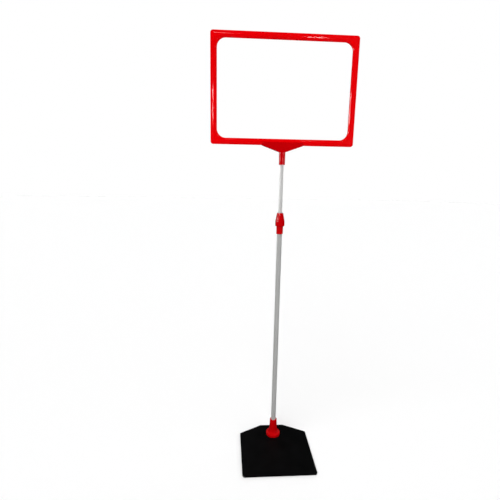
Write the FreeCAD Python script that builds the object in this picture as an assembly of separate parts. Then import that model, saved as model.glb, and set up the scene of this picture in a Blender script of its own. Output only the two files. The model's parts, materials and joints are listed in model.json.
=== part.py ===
"""Telescopic sign stand with an A3 landscape frame.

A steel plate lies on six rubber pads and carries a vertical aluminium mast near its rear edge.
The mast is two tubes: the inner one slides in the outer one and is held by a screw clamp.
A T-shaped connector turns on the inner tube and holds the lower rail of a two-part plastic frame,
whose halves leave a slot for an A3 sheet between them, open at the top.

Millimetres. +X is right, +Y is back, +Z is up. The origin is on the floor, under the centre of
the base plate. The front of the stand faces -Y.
"""
import FreeCAD, Part
import math
import os

V = FreeCAD.Vector
UP = V(0, 0, 1)
# How far the middle of a quarter arc lies from its corner's sides, as a share of the radius.
ARC_MIDDLE = 1 - math.sqrt(0.5)

# Base plate: a rectangle with its two rear corners cut off at an angle.
PLATE_WIDTH = 235.0
PLATE_DEPTH = 236.0
PLATE_SIDE_LENGTH = 196.0
PLATE_BACK_FLAT = 82.0
PLATE_THICKNESS = 5.0
PLATE_FRONT_RADIUS = 8.0
PLATE_REAR_RADIUS = 4.0
PLATE_EDGE_ROUND = 0.8

PAD_RADIUS = 8.0
PAD_THICKNESS = 1.0
PAD_INSET = 16.0

# Mast foot: plastic flange, steel screw from below, plastic plug in the tube.
MAST_FROM_FRONT = 190.0
FLANGE_TOP_WALL = 4.0
FLANGE_NECK_WALL = 5.0
FLANGE_RIM_WALL = 16.5
FLANGE_RIM_HEIGHT = 6.0
FLANGE_RIM_ROUND = 3.0
FLANGE_FLARE_TOP = 30.0
FLANGE_HEIGHT = 59.0
FLANGE_FLOOR = 3.0
FLANGE_PEG_RADIUS = 2.0
FLANGE_PEG_LENGTH = 3.0

SCREW_RADIUS = 3.0
SCREW_HEAD_OVERHANG = 2.8
SCREW_LENGTH = 25.0
SCREW_HEX_RADIUS = 2.3
SCREW_HEX_DEPTH = 2.4
FOOT_PLUG_LENGTH = 28.0

# Mast tubes: the outer one's size follows the inner one's.
INNER_TUBE_RADIUS = 6.0
INNER_TUBE_LENGTH = 640.0
OUTER_TUBE_LENGTH = 745.0
TUBE_WALL = 1.5
TELESCOPE_GAP = 0.5
TUBE_EDGE_ROUND = 0.3
EXPOSED_INNER_TUBE = 149.0

GUIDE_BUSH_LENGTH = 40.0
PLUG_SPIGOT_LENGTH = 20.0
SWIVEL_PLUG_HEAD = 3.0

# Screw clamp: collar on the outer tube, split wedge ring, eight-sided nut.
COLLAR_BELOW_TUBE_END = 22.0
COLLAR_SHOULDER = 2.0
COLLAR_BOTTOM_WALL = 2.6
COLLAR_TOP_WALL = 2.8
COLLAR_EDGE_ROUND = 1.5
CLAMP_THREAD_WALL = 0.95
CLAMP_THREAD_LENGTH = 19.0
CLAMP_THREAD_PITCH = 2.0
CLAMP_THREAD_DEPTH = 0.6
WEDGE_SEAT_DEPTH = 10.0
WEDGE_LENGTH = 19.0
WEDGE_NOSE_WALL = 0.9
WEDGE_HEAD_WALL = 2.2
WEDGE_SLIT = 1.4
NUT_SIDES = 8
NUT_HEIGHT = 42.0
NUT_SKIRT_HEIGHT = 16.0
NUT_TOP_WALL = 3.8
NUT_RIM_WALL = 5.0
NUT_RIM_UNDERCUT = 4.5
NUT_RIM_INSET = 1.8
NUT_CORNER_FACTOR = 1.045
NUT_TOP_ROUND = 1.2

# Connector between the inner tube and the frame.
SOCKET_LENGTH = 38.0
SOCKET_TOP_WALL = 4.0
SOCKET_BOTTOM_WALL = 3.5
SOCKET_EDGE_ROUND = 1.2
SOCKET_BORE_DEPTH = 36.0
GUSSET_DROP = 20.0
GUSSET_HALF_WIDTH = 66.0
LIP_HALF_WIDTH = 60.0
LIP_HEIGHT = 9.0
LIP_THICKNESS = 2.0
LIP_CORNER_RADIUS = 4.0
GUSSET_EDGE_ROUND = 1.2
CONNECTOR_PIN_X = 45.0
PIN_RADIUS = 1.9
PIN_HEAD_RADIUS = 3.2
PIN_HEAD_HEIGHT = 1.0
PIN_END_DEPTH = 2.4

# Frame: two moulded halves round an A3 landscape sheet.
SHEET_WIDTH = 420.0
SHEET_HEIGHT = 297.0
SHEET_MARGIN = 9.5
FRAME_THICKNESS = 9.0
RAIL_WIDTH = 19.0
FRAME_CORNER_RADIUS = 8.0
WINDOW_CORNER_RADIUS = 26.0
RIM_BEVEL_WIDTH = 6.0
RIM_BEVEL_DROP = 2.2
WINDOW_BEVEL_WIDTH = 5.0
WINDOW_BEVEL_DROP = 2.2
CREST_CORNER_RADIUS = 7.0
CREST_ROUND = 20.0
WINDOW_CREST_ROUND = 10.0
RIM_ROUND = 1.4
WINDOW_ROUND = 0.9
SHEET_SLOT = 1.2
FRAME_PEG_RADIUS = 1.7
FRAME_PEG_LENGTH = 2.0
SIDE_PEG_COUNT = 5
BOTTOM_PEGS_PER_SIDE = 3
PEG_END_MARGIN = 26.0

# Clearances. FIT is a radial gap round a hole's pin or peg; RUNNING is the gap of a sliding tube.
PRESS = 0.02
FIT = 0.1
RUNNING = 0.08
THREAD_GAP = 0.3
WEDGE_GAP = 0.15
SEAT_GAP = 0.1
SHEET_GAP = 1.0

# Levels and places worked out from the sizes above.
PLATE_FRONT_Y = -PLATE_DEPTH / 2
PLATE_BOTTOM = PAD_THICKNESS
PLATE_TOP = PLATE_BOTTOM + PLATE_THICKNESS
MAST_Y = PLATE_FRONT_Y + MAST_FROM_FRONT
FLANGE_TOP = PLATE_TOP + FLANGE_HEIGHT
OUTER_TUBE_BOTTOM = PLATE_TOP + FLANGE_FLOOR
OUTER_TUBE_TOP = OUTER_TUBE_BOTTOM + OUTER_TUBE_LENGTH
INNER_TUBE_BORE = INNER_TUBE_RADIUS - TUBE_WALL
OUTER_TUBE_BORE = INNER_TUBE_RADIUS + TELESCOPE_GAP
OUTER_TUBE_RADIUS = OUTER_TUBE_BORE + TUBE_WALL
FLANGE_NECK_RADIUS = OUTER_TUBE_RADIUS + FLANGE_NECK_WALL
FLANGE_TOP_RADIUS = OUTER_TUBE_RADIUS + FLANGE_TOP_WALL
FLANGE_RADIUS = OUTER_TUBE_RADIUS + FLANGE_RIM_WALL
FLANGE_PEG_CIRCLE = OUTER_TUBE_RADIUS + FLANGE_RIM_WALL / 2
SLIDE_BORE = INNER_TUBE_RADIUS + RUNNING
COLLAR_BOTTOM_RADIUS = OUTER_TUBE_RADIUS + COLLAR_BOTTOM_WALL
COLLAR_TOP_RADIUS = OUTER_TUBE_RADIUS + COLLAR_TOP_WALL
WEDGE_SMALL_RADIUS = INNER_TUBE_RADIUS + WEDGE_NOSE_WALL
WEDGE_LARGE_RADIUS = INNER_TUBE_RADIUS + WEDGE_HEAD_WALL
CLAMP_THREAD_RADIUS = WEDGE_LARGE_RADIUS + WEDGE_GAP + CLAMP_THREAD_WALL
NUT_TOP_RADIUS = INNER_TUBE_RADIUS + NUT_TOP_WALL
NUT_RIM_RADIUS = CLAMP_THREAD_RADIUS + NUT_RIM_WALL
SOCKET_TOP_RADIUS = INNER_TUBE_RADIUS + SOCKET_TOP_WALL
SOCKET_BOTTOM_RADIUS = INNER_TUBE_RADIUS + SOCKET_BOTTOM_WALL
COLLAR_BOTTOM = OUTER_TUBE_TOP - COLLAR_BELOW_TUBE_END
COLLAR_SHOULDER_Z = OUTER_TUBE_TOP + COLLAR_SHOULDER
COLLAR_TOP = COLLAR_SHOULDER_Z + CLAMP_THREAD_LENGTH
NUT_BOTTOM = COLLAR_SHOULDER_Z + 1.0
NUT_TOP = NUT_BOTTOM + NUT_HEIGHT
WEDGE_SEAT_Z = COLLAR_TOP - WEDGE_SEAT_DEPTH
WEDGE_BOTTOM = WEDGE_SEAT_Z + WEDGE_GAP
WEDGE_CONE_TOP = COLLAR_TOP + WEDGE_GAP
WEDGE_TOP = WEDGE_BOTTOM + WEDGE_LENGTH
SOCKET_BOTTOM = NUT_TOP + EXPOSED_INNER_TUBE
SOCKET_TOP = SOCKET_BOTTOM + SOCKET_LENGTH
SOCKET_ROOF = SOCKET_BOTTOM + SOCKET_BORE_DEPTH
INNER_TUBE_TOP = SOCKET_ROOF - SEAT_GAP - SWIVEL_PLUG_HEAD
INNER_TUBE_BOTTOM = INNER_TUBE_TOP - INNER_TUBE_LENGTH
FRAME_BOTTOM = SOCKET_TOP + GUSSET_DROP
FRAME_WIDTH = SHEET_WIDTH + 2 * SHEET_MARGIN
FRAME_HEIGHT = SHEET_HEIGHT + 2 * SHEET_MARGIN
FRAME_HALF = FRAME_THICKNESS / 2
SIDE_LAND = SHEET_MARGIN - SHEET_GAP
BOTTOM_LAND = SHEET_MARGIN
CONNECTOR_HALF = FRAME_HALF + FIT + LIP_THICKNESS


def rounded_outline(corners, level=0.0):
    """Closed wire in the plane z = level through (x, y, radius) corners, each rounded by an arc."""
    count = len(corners)
    points = [V(x, y, level) for x, y, _ in corners]
    arcs = []
    for i, (_, _, radius) in enumerate(corners):
        before = (points[i - 1] - points[i]).normalize()
        after = (points[(i + 1) % count] - points[i]).normalize()
        half_angle = before.getAngle(after) / 2
        reach = radius / math.tan(half_angle)
        inward = (before + after).normalize()
        middle = points[i] + inward * (radius / math.sin(half_angle) - radius)
        arcs.append((points[i] + before * reach, middle, points[i] + after * reach))
    edges = []
    for i, (start, middle, end) in enumerate(arcs):
        edges.append(Part.Arc(start, middle, end).toShape())
        edges.append(Part.LineSegment(end, arcs[(i + 1) % count][0]).toShape())
    return Part.Wire(edges)


def rounded_rectangle(width, height, radius, level=0.0):
    """Rectangle outline centred on the origin."""
    x, y = width / 2, height / 2
    signs = [(-1, -1), (1, -1), (1, 1), (-1, 1)]
    return rounded_outline([(sx * x, sy * y, radius) for sx, sy in signs], level)


def cylinder(radius, bottom, top, x=0.0, y=MAST_Y):
    """Upright cylinder, on the mast's axis unless another place is given."""
    return Part.makeCylinder(radius, top - bottom, V(x, y, bottom), UP)


def tube(outer, inner, bottom, top):
    return cylinder(outer, bottom, top).cut(cylinder(inner, bottom, top))


def turned(edges):
    """Solid of revolution about the mast's axis from edges in the plane y = MAST_Y."""
    face = Part.Face(Part.Wire(Part.__sortEdges__(edges)))
    return face.revolve(V(0, MAST_Y, 0), UP, 360)


def at(radius, height):
    """Point of a turned outline."""
    return V(radius, MAST_Y, height)


def lines(points):
    """Line edges that join the points in order."""
    return [Part.LineSegment(a, b).toShape() for a, b in zip(points, points[1:])]


def turned_polygon(points):
    return turned(lines(points + points[:1]))


def edges_at(shape, level):
    """Edges that lie in the plane z = level."""
    return [edge for edge in shape.Edges if all(abs(v.Z - level) < 1e-4 for v in edge.Vertexes)]


def edges_within(edges, width, height):
    """Those of the edges that lie in a rectangle of this size round the origin."""
    return [edge for edge in edges
            if all(abs(v.X) < width / 2 + FIT and abs(v.Y) < height / 2 + FIT for v in edge.Vertexes)]


def outer_edges_at(shape, level):
    """Outer one of the concentric circles at a level."""
    edges = edges_at(shape, level)
    widest = max(edge.BoundBox.XLength for edge in edges)
    return [edge for edge in edges if edge.BoundBox.XLength > widest - 1e-3]


def polygon_wire(sides, flat_radius, level):
    """Regular polygon about the mast's axis, with a flat facing the front."""
    corner_radius = flat_radius / math.cos(math.pi / sides)
    turn = math.pi / sides - math.pi / 2
    points = []
    for i in range(sides + 1):
        angle = turn + 2 * math.pi * i / sides
        points.append(V(corner_radius * math.cos(angle), MAST_Y + corner_radius * math.sin(angle), level))
    return Part.makePolygon(points)


def base_plate():
    back_y = PLATE_FRONT_Y + PLATE_DEPTH
    side_y = PLATE_FRONT_Y + PLATE_SIDE_LENGTH
    half, flat = PLATE_WIDTH / 2, PLATE_BACK_FLAT / 2
    corners = [
        (-half, PLATE_FRONT_Y, PLATE_FRONT_RADIUS),
        (half, PLATE_FRONT_Y, PLATE_FRONT_RADIUS),
        (half, side_y, PLATE_REAR_RADIUS),
        (flat, back_y, PLATE_REAR_RADIUS),
        (-flat, back_y, PLATE_REAR_RADIUS),
        (-half, side_y, PLATE_REAR_RADIUS),
    ]
    outline = Part.Face(rounded_outline(corners, PLATE_BOTTOM))
    plate = outline.extrude(UP * PLATE_THICKNESS)
    plate = plate.makeFillet(PLATE_EDGE_ROUND, edges_at(plate, PLATE_TOP))
    plate = plate.cut(cylinder(SCREW_RADIUS + FIT, PLATE_BOTTOM, PLATE_TOP))
    plate = plate.cut(screw_head(FIT))
    for x in (-FLANGE_PEG_CIRCLE, FLANGE_PEG_CIRCLE):
        hole_bottom = PLATE_TOP - FLANGE_PEG_LENGTH - 2 * FIT
        plate = plate.cut(cylinder(FLANGE_PEG_RADIUS + FIT, hole_bottom, PLATE_TOP, x))
    return plate


def pad_places():
    """Pad centres: two at the front, two at the side corners, two at the rear edge."""
    half = PLATE_WIDTH / 2 - PAD_INSET
    flat = PLATE_BACK_FLAT / 2 - PAD_INSET / 2
    front_y = PLATE_FRONT_Y + PAD_INSET
    side_y = PLATE_FRONT_Y + PLATE_SIDE_LENGTH - PAD_INSET
    rear_y = PLATE_FRONT_Y + PLATE_DEPTH - PAD_INSET
    rows = [(half, front_y), (half, side_y), (flat, rear_y)]
    return [(side * x, y) for x, y in rows for side in (-1, 1)]


def floor_pad(x, y):
    pad = cylinder(PAD_RADIUS, 0, PAD_THICKNESS, x, y)
    return pad.makeChamfer(PAD_THICKNESS / 4, edges_at(pad, 0))


def base_flange():
    """Flared foot: a thick rim on the plate, a concave flare and a neck that narrows upwards."""
    rim_top = PLATE_TOP + FLANGE_RIM_HEIGHT
    flare_foot = at(FLANGE_RADIUS - FLANGE_RIM_ROUND, rim_top + FLANGE_RIM_ROUND)
    flare_top = at(FLANGE_NECK_RADIUS, PLATE_TOP + FLANGE_FLARE_TOP)
    neck_slope = (FLANGE_NECK_RADIUS - FLANGE_TOP_RADIUS) / (FLANGE_TOP - flare_top.z)
    flare_corner = at(FLANGE_NECK_RADIUS + neck_slope * (flare_top.z - flare_foot.z), flare_foot.z)
    flare = Part.BezierCurve()
    flare.setPoles([flare_foot, flare_corner, flare_top])
    rim_arc = Part.Arc(
        at(FLANGE_RADIUS, rim_top),
        at(FLANGE_RADIUS - FLANGE_RIM_ROUND * ARC_MIDDLE,
           rim_top + FLANGE_RIM_ROUND * (1 - ARC_MIDDLE)),
        flare_foot,
    )
    hole = SCREW_RADIUS + FIT
    bore = OUTER_TUBE_RADIUS + FIT
    edges = lines([at(hole, PLATE_TOP), at(FLANGE_RADIUS, PLATE_TOP), at(FLANGE_RADIUS, rim_top)])
    edges.append(rim_arc.toShape())
    edges.append(flare.toShape())
    edges += lines([
        flare_top,
        at(FLANGE_TOP_RADIUS, FLANGE_TOP),
        at(bore, FLANGE_TOP),
        at(bore, OUTER_TUBE_BOTTOM),
        at(hole, OUTER_TUBE_BOTTOM),
        at(hole, PLATE_TOP),
    ])
    flange = turned(edges)
    edge_round = (FLANGE_TOP_RADIUS - bore) / 4
    flange = flange.makeFillet(edge_round, outer_edges_at(flange, FLANGE_TOP))
    for x in (-FLANGE_PEG_CIRCLE, FLANGE_PEG_CIRCLE):
        peg = cylinder(FLANGE_PEG_RADIUS, PLATE_TOP - FLANGE_PEG_LENGTH, PLATE_TOP, x)
        flange = flange.fuse(peg)
    return flange.removeSplitter()


def screw_head(gap=0.0):
    """Ninety-degree countersunk head, flush with the underside of the plate."""
    radius = SCREW_RADIUS + gap
    return Part.makeCone(radius + SCREW_HEAD_OVERHANG, radius, SCREW_HEAD_OVERHANG,
                         V(0, MAST_Y, PLATE_BOTTOM), UP)


def base_screw():
    shank = cylinder(SCREW_RADIUS, PLATE_BOTTOM, PLATE_BOTTOM + SCREW_LENGTH)
    shank = shank.makeChamfer(SCREW_RADIUS / 6, edges_at(shank, PLATE_BOTTOM + SCREW_LENGTH))
    screw = shank.fuse(screw_head())
    socket_outline = Part.Face(polygon_wire(6, SCREW_HEX_RADIUS, PLATE_BOTTOM))
    return screw.cut(socket_outline.extrude(UP * SCREW_HEX_DEPTH)).removeSplitter()


def foot_plug():
    """Threaded plug pressed into the lower end of the outer tube."""
    top = OUTER_TUBE_BOTTOM + FOOT_PLUG_LENGTH
    plug = cylinder(OUTER_TUBE_BORE - PRESS, OUTER_TUBE_BOTTOM, top)
    plug = plug.makeChamfer(TUBE_WALL / 2, edges_at(plug, top))
    return plug.cut(cylinder(SCREW_RADIUS + PRESS, OUTER_TUBE_BOTTOM, top))


def rounded_tube(outer, inner, bottom, top):
    """Tube with its cut ends broken on the outside."""
    shape = tube(outer, inner, bottom, top)
    ends = outer_edges_at(shape, bottom) + outer_edges_at(shape, top)
    return shape.makeFillet(TUBE_EDGE_ROUND, ends)


def outer_tube():
    return rounded_tube(OUTER_TUBE_RADIUS, OUTER_TUBE_BORE, OUTER_TUBE_BOTTOM, OUTER_TUBE_TOP)


def inner_tube():
    return rounded_tube(INNER_TUBE_RADIUS, INNER_TUBE_BORE, INNER_TUBE_BOTTOM, INNER_TUBE_TOP)


def guide_bush():
    """Plastic bush on the lower end of the inner tube; it runs in the outer tube's bore."""
    shoulder = INNER_TUBE_BOTTOM
    head = cylinder(OUTER_TUBE_BORE - RUNNING, shoulder - GUIDE_BUSH_LENGTH, shoulder)
    rims = edges_at(head, shoulder) + edges_at(head, shoulder - GUIDE_BUSH_LENGTH)
    head = head.makeChamfer((OUTER_TUBE_BORE - INNER_TUBE_RADIUS) / 2, rims)
    spigot = cylinder(INNER_TUBE_BORE - PRESS, shoulder, shoulder + PLUG_SPIGOT_LENGTH)
    hollow_bottom = shoulder - GUIDE_BUSH_LENGTH + TUBE_WALL
    hollow = cylinder(INNER_TUBE_BORE - TUBE_WALL, hollow_bottom, shoulder + PLUG_SPIGOT_LENGTH)
    return head.fuse(spigot).cut(hollow).removeSplitter()


def swivel_plug():
    """Plug in the upper end of the inner tube; the connector's socket turns on its head."""
    head_top = INNER_TUBE_TOP + SWIVEL_PLUG_HEAD
    head = cylinder(INNER_TUBE_RADIUS, INNER_TUBE_TOP, head_top)
    head = head.makeFillet(SWIVEL_PLUG_HEAD / 4, edges_at(head, head_top))
    spigot = cylinder(INNER_TUBE_BORE - PRESS, INNER_TUBE_TOP - PLUG_SPIGOT_LENGTH, INNER_TUBE_TOP)
    return head.fuse(spigot).removeSplitter()


def thread_profile():
    """Outline of the collar's thread as ring grooves, from its foot to its top."""
    root = CLAMP_THREAD_RADIUS - CLAMP_THREAD_DEPTH
    points = [at(root, COLLAR_SHOULDER_Z)]
    turns = int((CLAMP_THREAD_LENGTH - CLAMP_THREAD_PITCH) / CLAMP_THREAD_PITCH)
    start = COLLAR_SHOULDER_Z + CLAMP_THREAD_PITCH
    for turn in range(turns):
        foot = start + turn * CLAMP_THREAD_PITCH
        points.append(at(root, foot))
        points.append(at(CLAMP_THREAD_RADIUS, foot + CLAMP_THREAD_PITCH / 3))
        points.append(at(CLAMP_THREAD_RADIUS, foot + CLAMP_THREAD_PITCH / 2))
        points.append(at(root, foot + CLAMP_THREAD_PITCH * 5 / 6))
    points.append(at(root, COLLAR_TOP))
    return points


def clamp_collar():
    """Collar fixed on the outer tube, with a threaded neck and a conical seat for the wedge."""
    socket = OUTER_TUBE_RADIUS + PRESS
    seat_top = WEDGE_LARGE_RADIUS + WEDGE_GAP
    seat_bottom = WEDGE_SMALL_RADIUS + WEDGE_GAP
    points = [at(socket, COLLAR_BOTTOM), at(COLLAR_BOTTOM_RADIUS, COLLAR_BOTTOM)]
    points.append(at(COLLAR_TOP_RADIUS, COLLAR_SHOULDER_Z))
    points += thread_profile()
    points += [
        at(seat_top, COLLAR_TOP),
        at(seat_bottom, WEDGE_SEAT_Z),
        at(SLIDE_BORE, WEDGE_SEAT_Z),
        at(SLIDE_BORE, OUTER_TUBE_TOP),
        at(socket, OUTER_TUBE_TOP),
    ]
    collar = turned_polygon(points)
    return collar.makeFillet(COLLAR_EDGE_ROUND, outer_edges_at(collar, COLLAR_BOTTOM))


def wedge_ring():
    """Split ring with a tapered nose; the nut presses it into the collar and onto the tube."""
    ring = turned_polygon([
        at(SLIDE_BORE, WEDGE_BOTTOM),
        at(WEDGE_SMALL_RADIUS, WEDGE_BOTTOM),
        at(WEDGE_LARGE_RADIUS, WEDGE_CONE_TOP),
        at(WEDGE_LARGE_RADIUS, WEDGE_TOP),
        at(SLIDE_BORE, WEDGE_TOP),
    ])
    slit = Part.makeBox(WEDGE_SLIT, WEDGE_LARGE_RADIUS * 2, WEDGE_LENGTH,
                        V(-WEDGE_SLIT / 2, MAST_Y, WEDGE_BOTTOM))
    ring = ring.cut(slit)
    relief_height = WEDGE_LENGTH * 0.7
    for angle in (90, 180, 270):
        relief = Part.makeBox(WEDGE_SLIT, WEDGE_LARGE_RADIUS * 2, relief_height,
                              V(-WEDGE_SLIT / 2, MAST_Y, WEDGE_BOTTOM))
        relief.rotate(V(0, MAST_Y, 0), UP, angle)
        ring = ring.cut(relief)
    return ring


def clamp_nut():
    """Eight-sided nut: an upright skirt with a rounded lower rim, and a taper above it."""
    rim_z = NUT_BOTTOM + NUT_RIM_UNDERCUT
    skirt_top = NUT_BOTTOM + NUT_SKIRT_HEIGHT
    foot = NUT_RIM_RADIUS - NUT_RIM_INSET
    facets = Part.makeLoft([
        polygon_wire(NUT_SIDES, NUT_RIM_RADIUS, NUT_BOTTOM),
        polygon_wire(NUT_SIDES, NUT_RIM_RADIUS, skirt_top),
        polygon_wire(NUT_SIDES, NUT_TOP_RADIUS, NUT_TOP),
    ], True, True)
    corner = NUT_CORNER_FACTOR
    skin = lines([at(0, NUT_BOTTOM), at(foot * corner, NUT_BOTTOM)])
    rim = NUT_RIM_RADIUS * corner
    bulge = at(rim - NUT_RIM_INSET * ARC_MIDDLE, NUT_BOTTOM + NUT_RIM_UNDERCUT * ARC_MIDDLE)
    skin.append(Part.Arc(at(foot * corner, NUT_BOTTOM), bulge, at(rim, rim_z)).toShape())
    skin += lines([
        at(rim, rim_z),
        at(rim, skirt_top),
        at(NUT_TOP_RADIUS * corner, NUT_TOP - NUT_TOP_ROUND),
        at(NUT_TOP_RADIUS * corner - NUT_TOP_ROUND, NUT_TOP),
        at(0, NUT_TOP),
        at(0, NUT_BOTTOM),
    ])
    nut = turned(skin).common(facets)
    thread = CLAMP_THREAD_RADIUS + THREAD_GAP
    nut = nut.cut(cylinder(thread, NUT_BOTTOM, COLLAR_TOP + CLAMP_THREAD_PITCH))
    nut = nut.cut(cylinder(WEDGE_LARGE_RADIUS + THREAD_GAP, NUT_BOTTOM, WEDGE_TOP + SEAT_GAP))
    nut = nut.cut(cylinder(INNER_TUBE_RADIUS + THREAD_GAP, NUT_BOTTOM, NUT_TOP))
    mouth = COLLAR_TOP_RADIUS + 2 * THREAD_GAP
    return nut.cut(cylinder(mouth, NUT_BOTTOM, NUT_BOTTOM + CLAMP_THREAD_PITCH))


def standing(shape, bottom):
    """Turn a shape drawn flat so that its y is height above bottom and its z points to the front."""
    shape.rotate(V(0, 0, 0), V(1, 0, 0), 90)
    shape.translate(V(0, MAST_Y, bottom))
    return shape


def gusset_outline():
    """Connector's face seen from the front; height 0 is the top of the socket."""
    rail = GUSSET_DROP
    top = rail + LIP_HEIGHT
    corners = [
        (-SOCKET_TOP_RADIUS, 0, 0.5),
        (SOCKET_TOP_RADIUS, 0, 0.5),
        (GUSSET_HALF_WIDTH, rail, LIP_CORNER_RADIUS),
        (LIP_HALF_WIDTH, top, LIP_CORNER_RADIUS),
        (-LIP_HALF_WIDTH, top, LIP_CORNER_RADIUS),
        (-GUSSET_HALF_WIDTH, rail, LIP_CORNER_RADIUS),
    ]
    return rounded_outline(corners, -CONNECTOR_HALF)


def pin_hole(radius, low, high, x):
    """Hole for a connector pin, drawn flat, half-way up the saddle's lips."""
    return Part.makeCylinder(radius, high - low, V(x, LIP_HEIGHT / 2, low), UP)


def t_connector():
    """Gusset with a saddle for the frame's lower rail, and a socket for the inner tube."""
    gusset = Part.Face(gusset_outline()).extrude(UP * 2 * CONNECTOR_HALF)
    faces = edges_at(gusset, -CONNECTOR_HALF) + edges_at(gusset, CONNECTOR_HALF)
    gusset = gusset.makeFillet(GUSSET_EDGE_ROUND, faces)
    saddle_half = FRAME_HALF + FIT
    saddle = Part.makeBox(2 * GUSSET_HALF_WIDTH + 2, LIP_HEIGHT + 2, 2 * saddle_half,
                          V(-GUSSET_HALF_WIDTH - 1, GUSSET_DROP, -saddle_half))
    gusset = gusset.cut(saddle)
    for x in (-CONNECTOR_PIN_X, CONNECTOR_PIN_X):
        hole = pin_hole(PIN_RADIUS + FIT, -CONNECTOR_HALF, -saddle_half, x)
        hole.translate(V(0, GUSSET_DROP, 0))
        gusset = gusset.cut(hole)
    gusset = standing(gusset, SOCKET_TOP)
    socket = Part.makeCone(SOCKET_BOTTOM_RADIUS, SOCKET_TOP_RADIUS, SOCKET_LENGTH,
                           V(0, MAST_Y, SOCKET_BOTTOM), UP)
    socket = socket.makeFillet(SOCKET_EDGE_ROUND, edges_at(socket, SOCKET_BOTTOM))
    cap_height = SOCKET_TOP_RADIUS - CONNECTOR_HALF
    cap = Part.makeCone(SOCKET_TOP_RADIUS, CONNECTOR_HALF, cap_height, V(0, MAST_Y, SOCKET_TOP), UP)
    connector = gusset.fuse([socket, cap]).removeSplitter()
    return connector.cut(cylinder(SLIDE_BORE, SOCKET_BOTTOM, SOCKET_ROOF))


def connector_pins():
    """Two headed pins pushed in from the back, through the saddle into both frame halves."""
    pins = []
    for x in (-CONNECTOR_PIN_X, CONNECTOR_PIN_X):
        head = pin_hole(PIN_HEAD_RADIUS, -CONNECTOR_HALF - PIN_HEAD_HEIGHT, -CONNECTOR_HALF, x)
        head = head.makeFillet(PIN_HEAD_HEIGHT / 2, edges_at(head, -CONNECTOR_HALF - PIN_HEAD_HEIGHT))
        shank = pin_hole(PIN_RADIUS, -CONNECTOR_HALF, PIN_END_DEPTH, x)
        pins.append(head.fuse(shank).removeSplitter())
    return standing(Part.makeCompound(pins), FRAME_BOTTOM)


def frame_body():
    """One frame half, drawn flat and centred: its joint face is z = 0, its show face is above."""
    shoulder = FRAME_HALF - RIM_BEVEL_DROP
    outline = rounded_rectangle(FRAME_WIDTH, FRAME_HEIGHT, FRAME_CORNER_RADIUS)
    body = Part.Face(outline).extrude(UP * shoulder)
    inset = 2 * RIM_BEVEL_WIDTH
    bevel = Part.makeLoft([
        rounded_rectangle(FRAME_WIDTH, FRAME_HEIGHT, FRAME_CORNER_RADIUS, shoulder),
        rounded_rectangle(FRAME_WIDTH - inset, FRAME_HEIGHT - inset, CREST_CORNER_RADIUS, FRAME_HALF),
    ], True, True)
    body = body.fuse(bevel).removeSplitter()
    body = body.makeFillet(CREST_ROUND, edges_at(body, FRAME_HALF))
    body = body.makeFillet(RIM_ROUND, edges_at(body, shoulder))
    window_width = FRAME_WIDTH - 2 * RAIL_WIDTH
    window_height = FRAME_HEIGHT - 2 * RAIL_WIDTH
    window = Part.Face(rounded_rectangle(window_width, window_height, WINDOW_CORNER_RADIUS))
    body = body.cut(window.extrude(UP * FRAME_THICKNESS))
    lip = FRAME_HALF - WINDOW_BEVEL_DROP
    crest_width = window_width + 2 * WINDOW_BEVEL_WIDTH
    crest_height = window_height + 2 * WINDOW_BEVEL_WIDTH
    window_bevel = Part.makeLoft([
        rounded_rectangle(window_width, window_height, WINDOW_CORNER_RADIUS, lip),
        rounded_rectangle(crest_width, crest_height,
                          WINDOW_CORNER_RADIUS + WINDOW_BEVEL_WIDTH, FRAME_HALF),
    ], True, True)
    body = body.cut(window_bevel)
    crest = edges_within(edges_at(body, FRAME_HALF), crest_width, crest_height)
    body = body.makeFillet(WINDOW_CREST_ROUND, crest)
    body = body.makeFillet(WINDOW_ROUND, edges_at(body, lip))
    return body.cut(sheet_recess())


def sheet_recess():
    """Half of the sheet's slot, cut into a joint face and open at the top."""
    bottom = -FRAME_HEIGHT / 2 + BOTTOM_LAND
    width = FRAME_WIDTH - 2 * SIDE_LAND
    return Part.makeBox(width, FRAME_HEIGHT, SHEET_SLOT / 2, V(-width / 2, bottom, 0))


def frame_peg_places():
    """Centres of the pegs that join the halves: up both sides, and along the bottom beside the
    connector."""
    side_x = FRAME_WIDTH / 2 - SIDE_LAND / 2
    bottom_y = -FRAME_HEIGHT / 2 + BOTTOM_LAND / 2
    side_run = FRAME_HEIGHT - 2 * PEG_END_MARGIN
    bottom_start = GUSSET_HALF_WIDTH + 2 * FRAME_PEG_RADIUS
    bottom_run = FRAME_WIDTH / 2 - PEG_END_MARGIN - bottom_start
    places = []
    for i in range(SIDE_PEG_COUNT):
        y = -side_run / 2 + side_run * i / (SIDE_PEG_COUNT - 1)
        places += [(-side_x, y), (side_x, y)]
    for i in range(BOTTOM_PEGS_PER_SIDE):
        x = bottom_start + bottom_run * i / (BOTTOM_PEGS_PER_SIDE - 1)
        places += [(-x, bottom_y), (x, bottom_y)]
    return places


def frame_pin_cut(depth):
    """Holes for the connector pins, from a joint face up to a depth."""
    holes = [pin_hole(PIN_RADIUS + FIT, 0, depth, x) for x in (-CONNECTOR_PIN_X, CONNECTOR_PIN_X)]
    cut = Part.makeCompound(holes)
    cut.translate(V(0, -FRAME_HEIGHT / 2, 0))
    return cut


def frame_front():
    half = frame_body().cut(frame_pin_cut(PIN_END_DEPTH + FIT))
    overlap = SHEET_SLOT / 4
    for x, y in frame_peg_places():
        peg = Part.makeCylinder(FRAME_PEG_RADIUS, FRAME_PEG_LENGTH + overlap, V(x, y, -FRAME_PEG_LENGTH))
        half = half.fuse(peg)
    return standing(half.removeSplitter(), FRAME_BOTTOM + FRAME_HEIGHT / 2)


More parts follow.
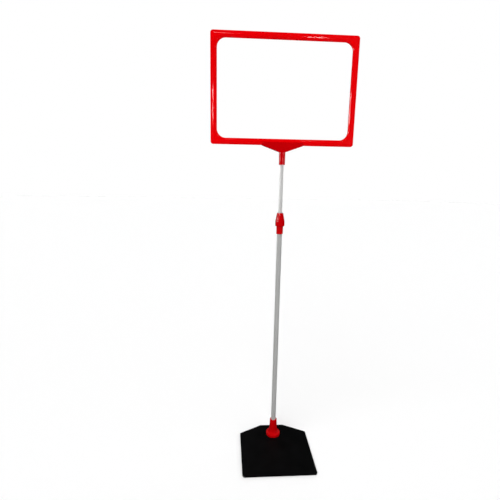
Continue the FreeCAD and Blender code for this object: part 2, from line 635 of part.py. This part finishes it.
def frame_back():
    half = frame_body().cut(frame_pin_cut(FRAME_THICKNESS))
    depth = FRAME_PEG_LENGTH + FIT
    for x, y in frame_peg_places():
        half = half.cut(Part.makeCylinder(FRAME_PEG_RADIUS + FIT, depth, V(x, y, 0)))
    half = half.mirror(V(0, 0, 0), UP)
    return standing(half, FRAME_BOTTOM + FRAME_HEIGHT / 2)


def nodes():
    """Every sub-part under its node name."""
    parts = {"base_plate": base_plate()}
    for number, (x, y) in enumerate(pad_places(), start=1):
        parts[f"floor_pad_{number}"] = floor_pad(x, y)
    parts["base_flange"] = base_flange()
    parts["base_screw"] = base_screw()
    parts["foot_plug"] = foot_plug()
    parts["outer_tube"] = outer_tube()
    parts["clamp_collar"] = clamp_collar()
    parts["wedge_ring"] = wedge_ring()
    parts["clamp_nut"] = clamp_nut()
    parts["inner_tube"] = inner_tube()
    parts["guide_bush"] = guide_bush()
    parts["swivel_plug"] = swivel_plug()
    parts["t_connector"] = t_connector()
    parts["connector_pins"] = connector_pins()
    parts["frame_front"] = frame_front()
    parts["frame_back"] = frame_back()
    return parts


os.makedirs("parts", exist_ok=True)
for name, shape in nodes().items():
    shape.exportStep(f"parts/{name}.step")
    solids = len(shape.Solids)
    print(name, "solids", solids, "valid", shape.isValid(), "volume", round(shape.Volume, 1))
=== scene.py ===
"""Looks of the telescopic sign stand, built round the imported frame. Metres."""
import json
import math

import bmesh
import bpy
from mathutils import Matrix, Vector


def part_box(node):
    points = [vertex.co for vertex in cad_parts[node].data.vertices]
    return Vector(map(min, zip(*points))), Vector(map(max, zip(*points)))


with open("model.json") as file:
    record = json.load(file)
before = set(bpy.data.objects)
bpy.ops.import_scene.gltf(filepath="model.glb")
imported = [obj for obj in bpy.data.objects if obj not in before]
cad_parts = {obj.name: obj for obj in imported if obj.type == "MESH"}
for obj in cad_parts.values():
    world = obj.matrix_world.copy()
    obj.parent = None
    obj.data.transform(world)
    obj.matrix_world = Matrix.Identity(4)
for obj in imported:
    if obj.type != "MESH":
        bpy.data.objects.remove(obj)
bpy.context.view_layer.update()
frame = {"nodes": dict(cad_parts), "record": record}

scene = bpy.context.scene
nodes = frame["nodes"]


# ---------------------------------------------------------------- camera

MAST = (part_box("outer_tube")[0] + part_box("outer_tube")[1]) / 2
MAST_FOOT = Vector((MAST.x, MAST.y, 0.0))
CAMERA_FROM_MAST = Vector((-0.1728, -1.1697, 0.9144))
CAMERA_HEADING = math.radians(3.852)
CAMERA_PITCH = math.radians(-11.375)
CAMERA_ROLL = math.radians(1.021)
LENS = 26.691
SENSOR = 36.0
CLIP_NEAR = 0.05
CLIP_FAR = 60.0


def camera():
    """Camera 0.9 m above the floor, a little left of the mast, looking slightly down."""
    data = bpy.data.cameras.new("camera")
    data.lens = LENS
    data.sensor_width = SENSOR
    data.clip_start = CLIP_NEAR
    data.clip_end = CLIP_FAR
    eye = bpy.data.objects.new("camera", data)
    place = MAST_FOOT + CAMERA_FROM_MAST
    aim = Matrix.Rotation(-CAMERA_HEADING, 4, "Z") @ Matrix.Rotation(math.pi / 2 + CAMERA_PITCH, 4, "X")
    eye.matrix_world = Matrix.Translation(place) @ aim @ Matrix.Rotation(CAMERA_ROLL, 4, "Z")
    scene.collection.objects.link(eye)
    scene.camera = eye


# ---------------------------------------------------------------- floor and light

FLOOR_HALF = 14.0
DOME_RADIUS = 16.0
BACKDROP_LIGHT = 1.0
WORLD_LIGHT = 0.12
LIGHT_DISTANCE = 2.5
SUN_TARGET_HEIGHT = 0.8
FLOOR_GREY = (0.96, 0.96, 0.96, 1)
WHITE = (1, 1, 1, 1)

# Broad suns light the colours: name, azimuth, elevation, strength, apparent size. Azimuth 0 is in
# front of the stand and grows to its right; all angles are in degrees.
SUNS = [
    ("key_sun", -36, 48, 2.5, 50),
    ("right_sun", 48, 24, 1.1, 70),
    ("rear_sun", 160, 35, 1.0, 70),
]

# Softboxes only make the gloss: name, azimuth, elevation and target height, width and height in
# metres, brightness.
SOFTBOXES = [
    ("left_strip", -90, 0, 1.09, 0.75, 0.16, 16.0),
    ("left_fill", -95, 0, 0.75, 0.90, 0.6, 1.6),
    ("right_box", 25, 2.3, 0.93, 0.16, 0.20, 20.0),
    ("low_pane", -22, 10, 1.00, 0.50, 0.05, 18.0),
    ("middle_pane", -22, 10, 1.07, 0.50, 0.04, 18.0),
    ("high_pane", -22, 10, 1.20, 0.50, 0.06, 18.0),
    ("top_box", 15, 18.5, 1.31, 0.13, 0.09, 18.0),
    ("top_left_box", -7, 28, 1.31, 0.30, 0.16, 6.0),
    ("rear_strip", 205, 10, 0.9, 0.45, 1.4, 6.0),
    ("rear_right_strip", 128, 6, 0.9, 0.30, 1.4, 6.0),
]


def floor():
    """Pale floor that is large enough for every view. It doesn't show in the stand's gloss."""
    material = bpy.data.materials.new("floor")
    material.use_nodes = True
    shader = material.node_tree.nodes["Principled BSDF"]
    shader.inputs["Base Color"].default_value = FLOOR_GREY
    shader.inputs["Roughness"].default_value = 1.0
    shader.inputs["Specular IOR Level"].default_value = 0.0
    mesh = bpy.data.meshes.new("floor")
    half = FLOOR_HALF
    corners = [(-half, -half, 0), (half, -half, 0), (half, half, 0), (-half, half, 0)]
    mesh.from_pydata(corners, [], [(0, 1, 2, 3)])
    mesh.materials.append(material)
    plane = bpy.data.objects.new("floor", mesh)
    plane.visible_glossy = False
    scene.collection.objects.link(plane)


def backdrop():
    """Evenly lit white dome. Only the camera sees it, so it neither lights the stand nor
    shows in its gloss."""
    material = bpy.data.materials.new("backdrop")
    material.use_nodes = True
    tree = material.node_tree
    tree.nodes.remove(tree.nodes["Principled BSDF"])
    glow = tree.nodes.new("ShaderNodeEmission")
    glow.inputs["Strength"].default_value = BACKDROP_LIGHT
    tree.links.new(glow.outputs["Emission"], tree.nodes["Material Output"].inputs["Surface"])
    mesh = bpy.data.meshes.new("backdrop")
    shape = bmesh.new()
    bmesh.ops.create_uvsphere(shape, u_segments=48, v_segments=24, radius=DOME_RADIUS)
    shape.to_mesh(mesh)
    shape.free()
    mesh.materials.append(material)
    dome = bpy.data.objects.new("backdrop", mesh)
    scene.collection.objects.link(dome)
    dome.visible_diffuse = False
    dome.visible_glossy = False
    dome.visible_transmission = False
    dome.visible_shadow = False


def direction(azimuth, elevation):
    """Unit vector from the stand towards a light."""
    turn, rise = math.radians(azimuth), math.radians(elevation)
    return Vector((math.sin(turn) * math.cos(rise), -math.cos(turn) * math.cos(rise), math.sin(rise)))


def aimed(name, data, towards, target_height):
    """Light object on the line from a point on the mast's axis, facing that point."""
    light = bpy.data.objects.new(name, data)
    light.location = MAST_FOOT + Vector((0, 0, target_height)) + towards * LIGHT_DISTANCE
    light.rotation_euler = towards.to_track_quat("Z", "Y").to_euler()
    scene.collection.objects.link(light)
    return light


def lights():
    """Faint even world light, suns for the colours and softboxes for the gloss."""
    world = bpy.data.worlds.new("world")
    world.use_nodes = True
    world.node_tree.nodes["Background"].inputs["Color"].default_value = WHITE
    world.node_tree.nodes["Background"].inputs["Strength"].default_value = WORLD_LIGHT
    scene.world = world
    world.cycles_visibility.glossy = False
    for name, azimuth, elevation, strength, spread in SUNS:
        data = bpy.data.lights.new(name, "SUN")
        data.energy = strength
        data.angle = math.radians(spread)
        light = aimed(name, data, direction(azimuth, elevation), SUN_TARGET_HEIGHT)
        light.visible_glossy = False
    for name, azimuth, elevation, target_height, width, height, brightness in SOFTBOXES:
        data = bpy.data.lights.new(name, "AREA")
        data.shape = "RECTANGLE"
        data.size = width
        data.size_y = height
        data.energy = math.pi * width * height * brightness
        light = aimed(name, data, direction(azimuth, elevation), target_height)
        light.visible_diffuse = False


# ---------------------------------------------------------------- materials

class Shader:
    """A material's node tree with short calls for the nodes that the finishes share."""

    def __init__(self, name):
        self.material = bpy.data.materials.new(name)
        self.material.use_nodes = True
        self.tree = self.material.node_tree
        self.bsdf = self.tree.nodes["Principled BSDF"]
        self.place = self.tree.nodes.new("ShaderNodeTexCoord").outputs["Object"]

    def set(self, **values):
        for name, value in values.items():
            self.bsdf.inputs[name.replace("_", " ")].default_value = value

    def noise(self, scale, detail=2.0, stretch=(1, 1, 1)):
        """Noise from 0 to 1 over the object, with features about 1 / scale metres in size."""
        mapping = self.tree.nodes.new("ShaderNodeMapping")
        mapping.inputs["Scale"].default_value = stretch
        self.tree.links.new(self.place, mapping.inputs["Vector"])
        noise = self.tree.nodes.new("ShaderNodeTexNoise")
        noise.inputs["Scale"].default_value = scale
        noise.inputs["Detail"].default_value = detail
        self.tree.links.new(mapping.outputs["Vector"], noise.inputs["Vector"])
        return noise.outputs["Fac"]

    def ramp(self, source, stops):
        """Colour ramp; each stop is (position, colour)."""
        ramp = self.tree.nodes.new("ShaderNodeValToRGB")
        elements = ramp.color_ramp.elements
        while len(elements) < len(stops):
            elements.new(0.5)
        for element, (position, colour) in zip(elements, stops):
            element.position = position
            element.color = (*colour, 1)
        self.tree.links.new(source, ramp.inputs["Fac"])
        return ramp.outputs["Color"]

    def spread(self, source, low, high):
        """Maps 0..1 to low..high."""
        node = self.tree.nodes.new("ShaderNodeMapRange")
        node.inputs["To Min"].default_value = low
        node.inputs["To Max"].default_value = high
        self.tree.links.new(source, node.inputs["Value"])
        return node.outputs["Result"]

    def join(self, socket, source):
        self.tree.links.new(source, self.bsdf.inputs[socket])

    def bump(self, source, depth, below=None):
        """Bump of a real depth in metres; below is an earlier bump's output."""
        node = self.tree.nodes.new("ShaderNodeBump")
        node.inputs["Distance"].default_value = depth
        self.tree.links.new(source, node.inputs["Height"])
        if below is not None:
            self.tree.links.new(below, node.inputs["Normal"])
        return node.outputs["Normal"]


FRAME_RED = 0.74
# The frame, connector, nut, flange and collar share one red plastic. The darker red below is that same
# plastic painted darker, as painted shade on the connector, nut, flange and collar.
PAINTED_SHADE_RED = 0.49


def red_plastic(name, red, specular, smooth, rough):
    """Moulded ABS: even colour with a faint flow pattern and a slight orange-peel. Roughness runs
    from smooth to rough."""
    shader = Shader(name)
    shader.set(IOR=1.49, Specular_IOR_Level=specular)
    flow = shader.noise(9.0, detail=3.0)
    shader.join("Base Color", shader.ramp(flow, [
        (0.25, (0.9 * red, 0.0, 0.001)), (0.75, (red, 0.0, 0.0018))]))
    shader.join("Roughness", shader.spread(shader.noise(160.0, detail=4.0), smooth, rough))
    peel = shader.bump(shader.noise(420.0), 0.00002)
    shader.join("Normal", shader.bump(shader.noise(45.0), 0.0002, below=peel))
    return shader.material


def satin_aluminium(name, dark, light):
    """Anodised extrusion: fine draw lines along the tube and a soft sheen."""
    shader = Shader(name)
    shader.set(Metallic=0.55)
    lines = shader.noise(900.0, detail=3.0, stretch=(1, 1, 0.012))
    tone = shader.noise(14.0, detail=3.0, stretch=(1, 1, 0.3))
    shader.join("Base Color", shader.ramp(tone, [
        (0.3, (dark, dark, dark * 0.985)), (0.7, (light, light, light * 0.985))]))
    shader.join("Roughness", shader.spread(lines, 0.34, 0.44))
    shader.join("Normal", shader.bump(lines, 0.000006))
    return shader.material


def black_powder_coat():
    """Satin black powder coat: fine pebbled skin, slightly uneven gloss."""
    shader = Shader("black_powder_coat")
    shader.set(IOR=1.5, Specular_IOR_Level=0.05)
    tone = shader.noise(22.0, detail=4.0)
    shader.join("Base Color", shader.ramp(tone, [
        (0.3, (0.0012, 0.0012, 0.0013)), (0.7, (0.0024, 0.0024, 0.0026))]))
    pebble = shader.noise(1500.0, detail=2.0)
    shader.join("Roughness", shader.spread(shader.noise(60.0), 0.42, 0.58))
    shader.join("Normal", shader.bump(pebble, 0.00003))
    return shader.material


def moulded(name, dark, light, roughness):
    """Matte moulded plastic or rubber with a fine grain."""
    shader = Shader(name)
    shader.join("Base Color", shader.ramp(shader.noise(50.0, detail=4.0), [(0.3, dark), (0.7, light)]))
    shader.join("Roughness", shader.spread(shader.noise(300.0), roughness - 0.07, roughness + 0.07))
    shader.join("Normal", shader.bump(shader.noise(1800.0), 0.00002))
    return shader.material


def zinc_steel():
    """Zinc-plated steel: uneven grey with a fine grain."""
    shader = Shader("zinc_steel")
    shader.set(Metallic=1.0)
    shader.join("Base Color", shader.ramp(shader.noise(220.0, detail=4.0), [
        (0.3, (0.42, 0.43, 0.45)), (0.7, (0.60, 0.61, 0.62))]))
    shader.join("Roughness", shader.spread(shader.noise(500.0), 0.28, 0.42))
    shader.join("Normal", shader.bump(shader.noise(900.0), 0.00001))
    return shader.material


def dress():
    """Gives every CAD node the finish of its material slot, or a finish of its own."""
    finishes = {
        "red_plastic": red_plastic("red_plastic", FRAME_RED, 0.45, 0.05, 0.10),
        "satin_aluminium": satin_aluminium("satin_aluminium", 0.70, 0.80),
        "black_steel": black_powder_coat(),
        "black_plastic": moulded("black_plastic", (0.012, 0.012, 0.012), (0.022, 0.022, 0.022), 0.5),
        "white_plastic": moulded("white_plastic", (0.66, 0.65, 0.60), (0.74, 0.73, 0.69), 0.45),
        "pad_rubber": moulded("pad_rubber", (0.010, 0.010, 0.010), (0.018, 0.018, 0.018), 0.8),
        "zinc_steel": zinc_steel(),
    }
    # Darker copies of the frame's red plastic: painted shade on the connector and nut, and with a satin
    # finish on the flange and collar.
    painted_shade_red = red_plastic("painted_shade_red_plastic", PAINTED_SHADE_RED, 0.45, 0.05, 0.10)
    satin_red = red_plastic("satin_red_plastic", PAINTED_SHADE_RED, 0.04, 0.40, 0.52)
    special = {
        "t_connector": painted_shade_red,
        "clamp_nut": painted_shade_red,
        "inner_tube": satin_aluminium("polished_aluminium", 0.86, 0.94),
        "base_flange": satin_red,
        "clamp_collar": satin_red,
    }
    for entry in frame["record"]["subparts"]:
        node = nodes[entry["node"]]
        for slot in node.material_slots:
            slot.material = special.get(entry["node"]) or finishes[entry["material_slot"]]


scene.view_settings.view_transform = "Standard"
camera()
floor()
backdrop()
lights()
dress()
